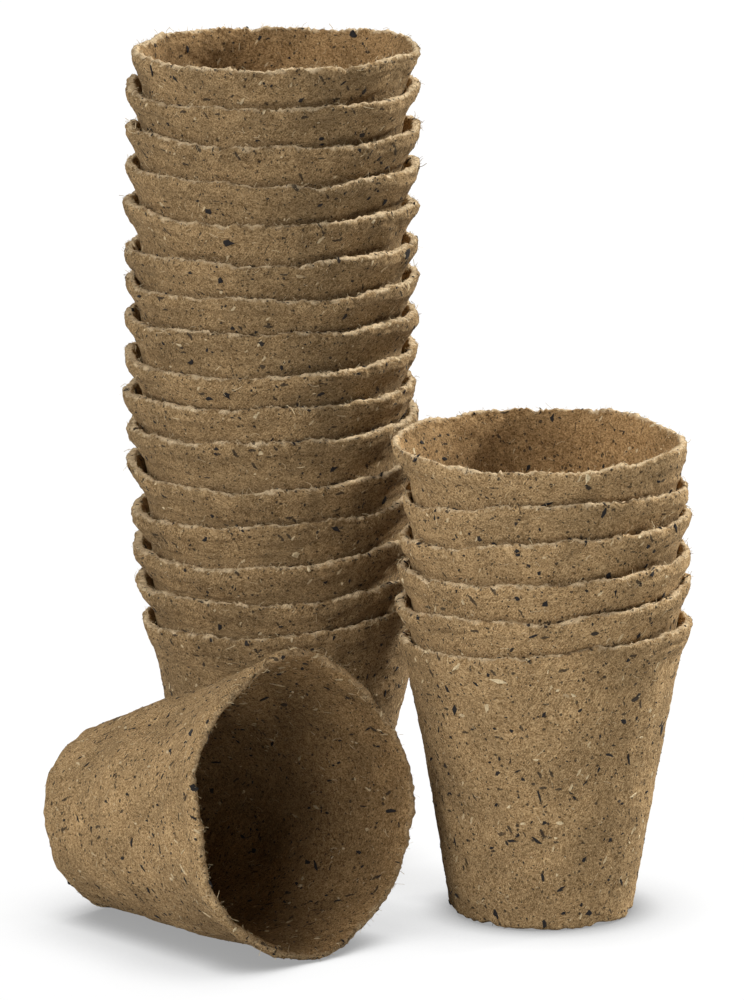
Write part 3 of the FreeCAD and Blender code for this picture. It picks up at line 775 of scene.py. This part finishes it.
class Sprinkler:
    """Lays chips and fibres on a finished pot, all in one mesh."""

    def __init__(self, mesh, seed):
        self.draw = np.random.default_rng(seed)
        self.laid = []
        mesh.calc_loop_triangles()
        count = len(mesh.loop_triangles)
        corners = np.zeros(count * 3, dtype=np.int32)
        mesh.loop_triangles.foreach_get("vertices", corners)
        places = read_points(mesh)
        self.triangles = places[corners.reshape(-1, 3)]
        first, second, third = np.moveaxis(self.triangles, 1, 0)
        cross = np.cross(second - first, third - first)
        length = np.linalg.norm(cross, axis=1)
        self.areas = length / 2
        self.normals = cross / np.maximum(length, SMALLEST_AREA)[:, None]
        station = np.zeros(len(mesh.vertices))
        mesh.attributes["station"].data.foreach_get("value", station)
        self.station = station[corners.reshape(-1, 3)].mean(axis=1)
        unworn = np.zeros(len(mesh.vertices) * 3)
        mesh.attributes["mould_place"].data.foreach_get("vector", unworn)
        unworn = unworn.reshape(-1, 3)[corners.reshape(-1, 3)].mean(axis=1)
        self.turn = np.arctan2(unworn[:, 1], unworn[:, 0])

    def spots(self, count, first, last):
        """Pick places at random between two stations, each with its way out of the wall."""
        chosen = np.flatnonzero((self.station >= first) & (self.station <= last))
        weights = self.areas[chosen] / self.areas[chosen].sum()
        picked = self.draw.choice(chosen, size=count, p=weights)
        shares = self.draw.dirichlet((1, 1, 1), size=count)
        places = np.einsum("nk,nkc->nc", shares, self.triangles[picked])
        return zip(places, self.normals[picked])

    def area(self, first, last):
        """Return how much of the pot lies between two stations."""
        return float(self.areas[(self.station >= first) & (self.station <= last)].sum())

    def any_way(self, out):
        """Return a way at random along the wall."""
        way = self.draw.normal(size=3)
        way -= out * way.dot(out)
        return way / np.linalg.norm(way)

    def nearest(self, turn, station):
        """Return the place and the way out of the wall at a bearing and a station."""
        away = np.abs((self.turn - turn + math.pi) % FULL_TURN - math.pi) * MIDDLE_RADIUS * MM
        index = int(np.argmin(np.hypot(away, self.station - station)))
        return self.triangles[index].mean(axis=0), self.normals[index]

    def lay(self, template, place, out, along, size, tone):
        """Note one copy of a template, its length along a way on the wall and its height outwards."""
        across = np.cross(out, along)
        turned = np.column_stack((along * size[0], across * size[1], out * size[2]))
        self.laid.append((template, turned, place, tone))

    def finish(self, name):
        """Return one mesh with everything that was laid."""
        mesh = bpy.data.meshes.new(name)
        whole = bmesh.new()
        handful = 60
        for first in range(0, len(self.laid), handful):
            bm = bmesh.new()
            for template, _, _, _ in self.laid[first:first + handful]:
                bm.from_mesh(template)
            bm.to_mesh(mesh)
            bm.free()
            whole.from_mesh(mesh)
        whole.to_mesh(mesh)
        whole.free()
        places = read_points(mesh)
        tones = np.zeros(len(places))
        start = 0
        for template, turned, place, tone in self.laid:
            end = start + len(template.vertices)
            places[start:end] = places[start:end] @ turned.T + place
            tones[start:end] = tone
            start = end
        mesh.vertices.foreach_set("co", np.ravel(places).astype(np.float32))
        write_attribute(mesh, "tone", "FLOAT", tones)
        mesh.update()
        return mesh


def sprinkle(pot, body, seed, regions, templates, material, laying=None):
    """Lay bark flecks, straw chips and hairs on the parts of a pot that show."""
    chips, fibres, hairs = templates
    sprinkler = Sprinkler(pot.data, seed)
    draw = sprinkler.draw
    for first, last in regions:
        area = sprinkler.area(first, last) / (MM * MM)
        for place, out in sprinkler.spots(int(area * CHIP_CROWD), first, last):
            length = min(CHIP_LENGTH * math.exp(draw.normal(0, CHIP_SPREAD)), CHIP_LONGEST) * MM
            size = (length, length * draw.uniform(*CHIP_WIDTHS), CHIP_THICK * MM)
            tone = draw.uniform(*(BARK_TONES if draw.random() < BARK_SHARE else STRAW_TONES))
            way = sprinkler.any_way(out)
            chip = chips[draw.integers(len(chips))]
            sprinkler.lay(chip, place - out * CHIP_SUNK * MM, out, way, size, tone)
        for place, out in sprinkler.spots(int(area * FIBRE_CROWD), first, last):
            length = draw.uniform(*FIBRE_LENGTHS) * MM
            way = sprinkler.any_way(out)
            tone = draw.uniform(*FIBRE_TONES) if draw.random() < PALE_FIBRE_SHARE else DARK_FIBRE_TONE
            width = draw.uniform(*FIBRE_WIDTHS) * MM
            sprinkler.lay(fibres[draw.integers(len(fibres))], place, out, way, (length, length, width), tone)
    for bearing, below, long, wide, tilt, tone in LARGE_CHIPS.get(body, ()):
        turn = math.radians(bearing)
        place, out = sprinkler.nearest(turn, -below * MM)
        level = np.array([-math.sin(turn), math.cos(turn), 0.0])
        level = level if laying is None else laying @ level
        way = level * math.cos(math.radians(tilt)) + np.cross(out, level) * math.sin(math.radians(tilt))
        way -= out * way.dot(out)
        way /= np.linalg.norm(way)
        size = np.array([long * LARGE_CHIP_SCALE[0], wide * LARGE_CHIP_SCALE[1], LARGE_CHIP_THICK]) * MM
        chip = chips[draw.integers(len(chips))]
        sprinkler.lay(chip, place - out * LARGE_CHIP_SUNK * MM, out, way, size, tone)
    band = (edge * MM for edge in HAIR_BAND)
    for place, out in sprinkler.spots(HAIR_COUNT, *band):
        length = min(draw.lognormal(0.0, HAIR_SPREAD), HAIR_LONGEST) * MM
        way = draw.normal(size=3) + out * HAIR_OUTWARDS
        if place[2] < TABLE_GAP * MM:
            way[2] = abs(way[2])
        way /= np.linalg.norm(way)
        side = sprinkler.any_way(way)
        tone = draw.uniform(*HAIR_TONES)
        width = draw.uniform(*HAIR_WIDTHS) * MM
        sprinkler.lay(hairs[draw.integers(len(hairs))], place + way * length * HAIR_ROOT, side, way,
                      (length, length, width), tone)
    piece = add_piece(sprinkler.finish(pot.name + "_flecks"), material)
    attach(piece, body)


def add_node(tree, kind, inputs=None, **settings):
    """Add a node, set it and its sockets, and link the sockets that are given another node's output."""
    node = tree.nodes.new(kind)
    for name, value in settings.items():
        setattr(node, name, value)
    for name, value in (inputs or {}).items():
        if isinstance(value, bpy.types.NodeSocket):
            tree.links.new(value, node.inputs[name])
        else:
            node.inputs[name].default_value = value
    return node


def blend_colours(tree, share, first, second, kind="MIX"):
    """Mix two colours by a share and return the mixed colour's socket."""
    node = tree.nodes.new("ShaderNodeMix")
    node.data_type = "RGBA"
    node.blend_type = kind
    for index, value in ((0, share), (6, first), (7, second)):
        if isinstance(value, bpy.types.NodeSocket):
            tree.links.new(value, node.inputs[index])
        elif index == 0:
            node.inputs[index].default_value = value
        else:
            node.inputs[index].default_value = (*value, 1)
    return node.outputs[2]


def between(tree, value, low, high, start=0.0, end=1.0):
    """Map a value from one range to another, held at its ends."""
    node = add_node(tree, "ShaderNodeMapRange", {"Value": value, "From Min": low, "From Max": high,
                                                 "To Min": start, "To Max": end})
    node.interpolation_type = "SMOOTHSTEP"
    return node.outputs["Result"]


def sums(tree, operation, first, second):
    """Return the result of one sum on two values."""
    return add_node(tree, "ShaderNodeMath", {0: first, 1: second}, operation=operation).outputs[0]


def stretched(tree, places, scale, twist=0.0):
    """Return the places scaled along each axis, after a twist about the pot's own axis."""
    if twist:
        parts = add_node(tree, "ShaderNodeSeparateXYZ", {0: places})
        angle = times(tree, parts.outputs["Z"], twist)
        places = add_node(tree, "ShaderNodeVectorRotate", {"Vector": places, "Angle": angle},
                          rotation_type="Z_AXIS").outputs[0]
    return add_node(tree, "ShaderNodeMapping", {"Vector": places, "Scale": scale}).outputs[0]


def noise(tree, places, scale, detail, roughness=0.55):
    """Return the strength of a noise over the places."""
    return add_node(tree, "ShaderNodeTexNoise", {"Vector": places, "Scale": scale, "Detail": detail,
                                                 "Roughness": roughness}).outputs["Fac"]


def vectors(tree, operation, first, inputs):
    """Return the result of one sum on vectors."""
    return add_node(tree, "ShaderNodeVectorMath", {0: first, **inputs}, operation=operation).outputs[0]


def flecks(tree, places, scale, twist, share, size):
    """Return a mask of separate flecks: a share of the cells has one, of about the given size."""
    places = stretched(tree, places, scale, twist)
    cells = add_node(tree, "ShaderNodeTexVoronoi", {"Vector": places, "Scale": 1.0, "Randomness": 1.0})
    pick = add_node(tree, "ShaderNodeSeparateColor", {0: cells.outputs["Color"]})
    chosen = sums(tree, "LESS_THAN", pick.outputs["Red"], share)
    reach = between(tree, pick.outputs["Green"], 0.0, 1.0, FLECK_SMALLEST * size, size)
    gap = sums(tree, "SUBTRACT", reach, cells.outputs["Distance"])
    return times(tree, chosen, between(tree, gap, 0.0, FLECK_EDGE))


def streaks(tree, places, scale, twist, low, high):
    """Return a mask of thin fibres that run one way, told apart from their ground by a range of noise."""
    return between(tree, noise(tree, stretched(tree, places, scale, twist), 1.0, 2.0, 0.5), low, high)


def times(tree, first, second):
    """Return the product of two values."""
    return sums(tree, "MULTIPLY", first, second)


def strongest(tree, masks):
    """Return the strongest of several masks."""
    return functools.reduce(lambda first, second: sums(tree, "MAXIMUM", first, second), masks)


def shade(tree, colour, strength):
    """Return a colour made lighter or darker by a strength."""
    grey = add_node(tree, "ShaderNodeCombineColor", {0: strength, 1: strength, 2: strength}).outputs[0]
    return blend_colours(tree, 1.0, colour, grey, "MULTIPLY")


def attribute(tree, name, output="Fac"):
    """Return what is written on each point of the piece under a name."""
    return add_node(tree, "ShaderNodeAttribute", attribute_name=name).outputs[output]


def new_material(name, roughness, gloss):
    """Return a new material, its node tree and its shader."""
    material = bpy.data.materials.new(name)
    material.use_nodes = True
    shader = material.node_tree.nodes["Principled BSDF"]
    shader.inputs["Roughness"].default_value = roughness
    shader.inputs["Specular IOR Level"].default_value = gloss
    return material, material.node_tree, shader


def dress_surface(tree, shader, colour, height, depth, strength):
    """Give the shader its colour and the relief of its surface."""
    bump = add_node(tree, "ShaderNodeBump", {"Height": height, "Distance": depth, "Strength": strength})
    tree.links.new(bump.outputs["Normal"], shader.inputs["Normal"])
    tree.links.new(colour, shader.inputs["Base Color"])


def peat_material(finish):
    """Return the moulded peat: mottled fibre, imprint of the screen with painted light and shade on its
    ribs, bark flecks, pale torn edges that are partly a painted highlight, and batch tones that are partly
    painted light and shade.
    """
    material, tree, shader = new_material("moulded_peat", finish.roughness, PEAT_GLOSS)
    place = attribute(tree, "mould_place", "Vector")
    wrap = attribute(tree, "mould_wrap", "Vector")
    outside = attribute(tree, "outside")

    # Two warps bend the fibres: a broad one turns their way, a fine one frays them
    warps = []
    for scale, detail, shift in (BROAD_WARP, FINE_WARP):
        bends = add_node(tree, "ShaderNodeTexNoise", {"Vector": place, "Scale": scale, "Detail": detail})
        warps.append(vectors(tree, "SCALE", bends.outputs["Color"], {"Scale": shift}))
    turned, frayed = warps
    threads = vectors(tree, "ADD", wrap, {1: vectors(tree, "ADD", turned, {1: frayed})})
    warped = vectors(tree, "ADD", place, {1: frayed})
    chips = vectors(tree, "ADD", wrap, {1: frayed})

    fibre = noise(tree, warped, *FIBRE_NOISE)
    crumb = noise(tree, place, *CRUMB_NOISE)
    light = strongest(tree, [streaks(tree, threads, *row) for row in LIGHT_FIBRES])
    dark = strongest(tree, [streaks(tree, threads, *row) for row in DARK_FIBRES])
    ground = sums(tree, "ADD", times(tree, fibre, FIBRE_SHARE), times(tree, crumb, 1 - FIBRE_SHARE))
    colour = blend_colours(tree, between(tree, ground, *DARK_GROUND), finish.middle, finish.dark)
    colour = blend_colours(tree, between(tree, ground, *LIGHT_GROUND), colour, finish.light)
    colour = blend_colours(tree, times(tree, dark, DARK_FIBRE_COVER), colour, finish.dark)
    colour = blend_colours(tree, times(tree, light, LIGHT_FIBRE_COVER), colour, finish.light)
    cloudy = between(tree, noise(tree, place, *CLOUD_NOISE), *CLOUDS)
    # Random clouds and the batch tone lighten or darken the colour; the batch tone is partly a real
    # difference between batches and partly painted light and shade
    colour = shade(tree, colour, times(tree, cloudy, attribute(tree, "batch_tone_and_painted_light")))
    # The inside is tinted warmer and a little darker than the outside
    inside_tinted = blend_colours(tree, 1.0, colour, finish.inside, "MULTIPLY")
    colour = blend_colours(tree, outside, inside_tinted, colour)
    # The pale torn edge, partly bare fibre and partly a painted highlight along the crest
    torn = times(tree, attribute(tree, "torn_edge_and_painted_highlight"), between(tree, fibre, *TORN_AND_PAINTED_HIGHLIGHT_FIBRES))
    colour = blend_colours(tree, torn, colour, finish.torn)

    bark = [flecks(tree, warped, *row) for row in ROUND_FLECKS]
    bark += [flecks(tree, chips, *row) for row in LONG_FLECKS]
    straw = flecks(tree, chips, *STRAW_FLECKS)
    colour = blend_colours(tree, times(tree, strongest(tree, bark), BARK_COVER), colour, finish.bark)
    colour = blend_colours(tree, times(tree, straw, STRAW_COVER), colour, finish.straw)

    # The screen of the mould leaves fine slanting ribs on parts of the outside
    parts = add_node(tree, "ShaderNodeSeparateXYZ", {0: chips})
    turn = sums(tree, "ARCTAN2", parts.outputs["Y"], parts.outputs["X"])
    slant = sums(tree, "ADD", times(tree, turn, RIBS_ROUND), times(tree, parts.outputs["Z"], RIBS_UP))
    ribs = sums(tree, "SINE", sums(tree, "ADD", slant, times(tree, crumb, RIBS_UNEVEN)), 0.0)
    pressed = times(tree, outside, between(tree, noise(tree, place, *RIB_PATCH_NOISE), *RIB_PATCHES))
    ribs = times(tree, times(tree, ribs, RIB_DEPTH), pressed)
    # Painted light and shade on the ribs: the colour is lighter on each rib and darker in the groove beside
    # it
    colour = shade(tree, colour, between(tree, ribs, *RIB_PAINTED_LIGHT_AND_SHADE))
    rough = sums(tree, "ADD", times(tree, ground, GROUND_DEPTH), ribs)
    rough = sums(tree, "ADD", rough, times(tree, light, STREAK_DEPTH))
    rough = sums(tree, "SUBTRACT", rough, times(tree, dark, STREAK_DEPTH))
    dress_surface(tree, shader, colour, rough, finish.relief, 1.0)
    return material


def fleck_material(finish):
    """Return the colour of bark, brown fibre and straw, told apart by each piece's own tone."""
    material, tree, shader = new_material("bark_and_straw", *FLECK_SURFACE)
    tone = attribute(tree, "tone")
    place = add_node(tree, "ShaderNodeTexCoord").outputs["Object"]
    fibre = noise(tree, place, *FLECK_NOISE)
    colour = blend_colours(tree, between(tree, tone, *BARK_TO_PEAT), finish.bark, finish.middle)
    colour = blend_colours(tree, between(tree, tone, *PEAT_TO_STRAW), colour, finish.straw)
    colour = shade(tree, colour, between(tree, fibre, *FLECK_SHADES))
    dress_surface(tree, shader, colour, fibre, *FLECK_RELIEF)
    return material


def shared(name, make):
    """Return what a function makes, made only once and kept by its name."""
    if name not in SHARED:
        SHARED[name] = make()
    return SHARED[name]


SHARED = {}


def templates():
    """Return the chip, fibre and hair shapes that are laid on every pot."""
    chips = [chip_template(CHIP_CORNERS[number % len(CHIP_CORNERS)], CHIP_SEED + number)
             for number in range(CHIP_KINDS)]
    fibres = [fibre_template(bend, FIBRE_PARTS) for bend in FIBRE_BENDS]
    hairs = [fibre_template(bend, HAIR_PARTS) for bend in HAIR_BENDS]
    return chips, fibres, hairs


def make_pot(context, name, seed, heights, reaches, placing, lowest, topmost, wear, laying=None):
    """Mould, wear and dress one pot and lay its flecks."""
    sizes = context.scene.peat_pot_sizes
    finish = context.scene.peat_pot_finish
    kind = "pot_section_{}_{}".format(lowest, topmost)
    mould = shared(kind, lambda: make_mould(kind, sizes, lowest, topmost))
    mesh, places = shape_pot(name + "_peat", mould, sizes, seed, heights, reaches, placing,
                             lowest, topmost, wear)
    pot = finish_pot(mesh, places, name, shared("peat", lambda: peat_material(finish)))
    whole = sizes.height * PAST_THE_END
    outer = -whole if lowest else -SHOWN_OUTSIDE * MM
    inner = whole if topmost else SHOWN_INSIDE * MM
    sprinkle(pot, name, seed + FLECK_SEED, [(outer, 0), (0, inner)], shared("templates", templates),
             shared("bits", lambda: fleck_material(finish)), laying)


def lean(places):
    """Move points of the tall stack sideways by how far it leans at their height."""
    places = places.copy()
    places[:, 0] += np.interp(places[:, 2] / MM, LEAN_HEIGHTS, LEAN_SHIFTS) * MM
    return places


def make_stack(context, names, heights, reaches, seed, leans):
    """Mould, dress and place the pots of one stack, the lowest first."""
    low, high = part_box(names[0])
    for number, name in enumerate(names):
        foot = np.array([(low.x + high.x) / 2, (low.y + high.y) / 2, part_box(name)[0].z])

        def placing(places, foot=foot):
            places = places + foot
            places[:, 2] = np.maximum(places[:, 2], 0)
            return lean(places) if leans else places

        make_pot(context, name, seed + POT_SEEDS * number, heights[number], reaches[number], placing,
                 number == 0, name == names[-1], 1.0)


class PEATPOTS_OT_tall_stack(bpy.types.Operator):
    """Mould the 16 pots of the tall stack and nest them"""
    bl_idname = "peat_pots.tall_stack"
    bl_label = "Tall Stack"

    def execute(self, context):
        names = sorted(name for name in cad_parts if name.startswith("tall_stack"))
        make_stack(context, names, TALL_RIM_HEIGHTS, TALL_RIM_REACHES, TALL_SEED, True)
        return {"FINISHED"}


class PEATPOTS_OT_short_stack(bpy.types.Operator):
    """Mould the 6 pots of the short stack and nest them"""
    bl_idname = "peat_pots.short_stack"
    bl_label = "Short Stack"

    def execute(self, context):
        names = sorted(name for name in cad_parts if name.startswith("short_stack"))
        make_stack(context, names, SHORT_RIM_HEIGHTS, SHORT_RIM_REACHES, SHORT_SEED, False)
        return {"FINISHED"}


class PEATPOTS_OT_loose_pot(bpy.types.Operator):
    """Mould the loose pot and lay it on its side"""
    bl_idname = "peat_pots.loose_pot"
    bl_label = "Loose Pot"

    def execute(self, context):
        tip = Matrix.Rotation(math.radians(90 - LOOSE_RISE_DEGREES), 4, "Y")
        point = Matrix.Rotation(math.radians(LOOSE_BEARING_DEGREES), 4, "Z")
        lay = Matrix.Translation(Vector(LOOSE_FOOT_CENTRE) * MM) @ point @ tip
        turn = np.array(lay.to_3x3())
        offset = np.array(lay.translation)

        def placing(places):
            laid = places @ turn.T + offset
            laid[:, 2] = np.maximum(laid[:, 2], 0)
            return laid

        make_pot(context, "loose_pot", LOOSE_SEED, LOOSE_RIM_HEIGHTS, LOOSE_RIM_REACHES, placing,
                 True, True, LOOSE_WEAR, turn)
        return {"FINISHED"}


def seen_rays(tree):
    """Return a switch that is on for the camera's rays and for those that gloss or glass throws on."""
    path = add_node(tree, "ShaderNodeLightPath")
    kinds = ("Is Camera Ray", "Is Glossy Ray", "Is Transmission Ray")
    return strongest(tree, [path.outputs[kind] for kind in kinds])


def floor_material(settings):
    """Return a pale floor that the camera sees as white, with the pots' shadow where they stand."""
    material, tree, shader = new_material("white_floor", 1.0, 0.0)
    shader.inputs["Base Color"].default_value = (*[settings.floor_shade] * 3, 1)
    glows = []
    for distance, *span in (NEAR_SHADOW, WIDE_SHADOW):
        open_air = add_node(tree, "ShaderNodeAmbientOcclusion", {"Distance": distance * MM},
                            samples=SHADOW_SAMPLES)
        glows.append(between(tree, open_air.outputs["AO"], *span))
    glow = times(tree, *glows)
    white = add_node(tree, "ShaderNodeEmission", {"Color": (1, 1, 1, 1), "Strength": glow})
    lit = add_node(tree, "ShaderNodeBsdfDiffuse", {"Color": (*[FLOOR_LIT] * 3, 1)})
    both = add_node(tree, "ShaderNodeAddShader", {0: lit.outputs[0], 1: white.outputs[0]})
    seen = seen_rays(tree)
    mix = add_node(tree, "ShaderNodeMixShader", {0: seen, 1: shader.outputs[0], 2: both.outputs[0]})
    tree.links.new(mix.outputs[0], tree.nodes["Material Output"].inputs["Surface"])
    return material


def add_lamp(name, kind, energy, colour, way):
    """Add a lamp that shines along a way, and return its data and its object."""
    lamp = bpy.data.lights.new(name, kind)
    lamp.energy = energy
    lamp.color = colour
    piece = bpy.data.objects.new(name, lamp)
    piece.rotation_euler = way.to_track_quat("-Z", "Y").to_euler()
    bpy.context.scene.collection.objects.link(piece)
    return lamp, piece


def add_sun(name, strength, spread, bearing, rise, colour):
    """Add a lamp without fall-off that shines from a bearing and a height, both in degrees."""
    bearing = math.radians(bearing)
    rise = math.radians(rise)
    level = math.cos(rise)
    from_there = Vector((level * math.cos(bearing), level * math.sin(bearing), math.sin(rise)))
    lamp, _ = add_lamp(name, "SUN", strength, colour, -from_there)
    lamp.angle = math.radians(spread)


def add_card(name, power, place, target, sides, colour):
    """Add an area lamp that throws light from a place towards a target, as a bounce card does."""
    lamp, piece = add_lamp(name, "AREA", power, colour, Vector(target) - Vector(place))
    lamp.shape = "RECTANGLE"
    lamp.size, lamp.size_y = sides
    piece.location = place
    piece.visible_camera = False


class PEATPOTS_OT_studio(bpy.types.Operator):
    """Make the white floor, the lamps and the camera"""
    bl_idname = "peat_pots.studio"
    bl_label = "Studio"

    def execute(self, context):
        scene = context.scene
        settings = scene.peat_pot_studio
        bm = bmesh.new()
        bmesh.ops.create_grid(bm, x_segments=8, y_segments=8, size=settings.floor_side / 2)
        add_piece(to_mesh(bm, "studio_floor"), floor_material(settings))
        add_sun("key_lamp", settings.key, *KEY_LAMP)
        add_sun("fill_lamp", settings.fill, *FILL_LAMP)
        add_card("bounce_lamp", settings.bounce, *BOUNCE_CARD)
        scene.world = bpy.data.worlds.new("studio_world")
        scene.world.use_nodes = True
        tree = scene.world.node_tree
        tree.nodes.clear()
        sky = add_node(tree, "ShaderNodeBackground", {"Color": SKY_COLOUR, "Strength": settings.sky})
        white = add_node(tree, "ShaderNodeBackground", {"Color": (1, 1, 1, 1), "Strength": 1.0})
        seen = seen_rays(tree)
        mix = add_node(tree, "ShaderNodeMixShader", {0: seen, 1: sky.outputs[0], 2: white.outputs[0]})
        add_node(tree, "ShaderNodeOutputWorld", {"Surface": mix.outputs[0]})

        camera = bpy.data.cameras.new("studio_camera")
        camera.lens = settings.lens
        camera.sensor_width = SENSOR_WIDTH
        camera.clip_end = CLIP_END
        piece = bpy.data.objects.new("studio_camera", camera)
        piece.location = Vector(CAMERA_PLACE) * MM
        piece.rotation_euler = (math.pi / 2 - settings.pitch, 0, 0)
        scene.collection.objects.link(piece)
        scene.camera = piece
        scene.view_settings.view_transform = "Standard"
        return {"FINISHED"}


class PEATPOTS_PT_panel(bpy.types.Panel):
    """Builds the peat pots piece by piece"""
    bl_label = "Peat Pots"
    bl_idname = "PEATPOTS_PT_panel"
    bl_space_type = "VIEW_3D"
    bl_region_type = "UI"
    bl_category = "Peat Pots"

    def draw(self, context):
        for operator in OPERATORS:
            self.layout.operator(operator.bl_idname)
        for group, settings in (("peat_pot_sizes", PotSizes), ("peat_pot_finish", PeatFinish),
                                ("peat_pot_studio", StudioSettings)):
            box = self.layout.box()
            for name in settings.__annotations__:
                box.prop(getattr(context.scene, group), name)


OPERATORS = (PEATPOTS_OT_tall_stack, PEATPOTS_OT_short_stack, PEATPOTS_OT_loose_pot, PEATPOTS_OT_studio)
CLASSES = (PotSizes, PeatFinish, StudioSettings, *OPERATORS, PEATPOTS_PT_panel)


def register():
    """Tell Blender about the add-on's classes and settings."""
    for item in CLASSES:
        bpy.utils.register_class(item)
    bpy.types.Scene.peat_pot_sizes = PointerProperty(type=PotSizes)
    bpy.types.Scene.peat_pot_finish = PointerProperty(type=PeatFinish)
    bpy.types.Scene.peat_pot_studio = PointerProperty(type=StudioSettings)


def unregister():
    """Take the add-on's settings and classes away again."""
    del bpy.types.Scene.peat_pot_studio
    del bpy.types.Scene.peat_pot_finish
    del bpy.types.Scene.peat_pot_sizes
    for item in reversed(CLASSES):
        bpy.utils.unregister_class(item)


def main():
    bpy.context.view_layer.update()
    register()
    bpy.ops.peat_pots.tall_stack()
    bpy.ops.peat_pots.short_stack()
    bpy.ops.peat_pots.loose_pot()
    bpy.ops.peat_pots.studio()


if __name__ == "__main__":
    main()
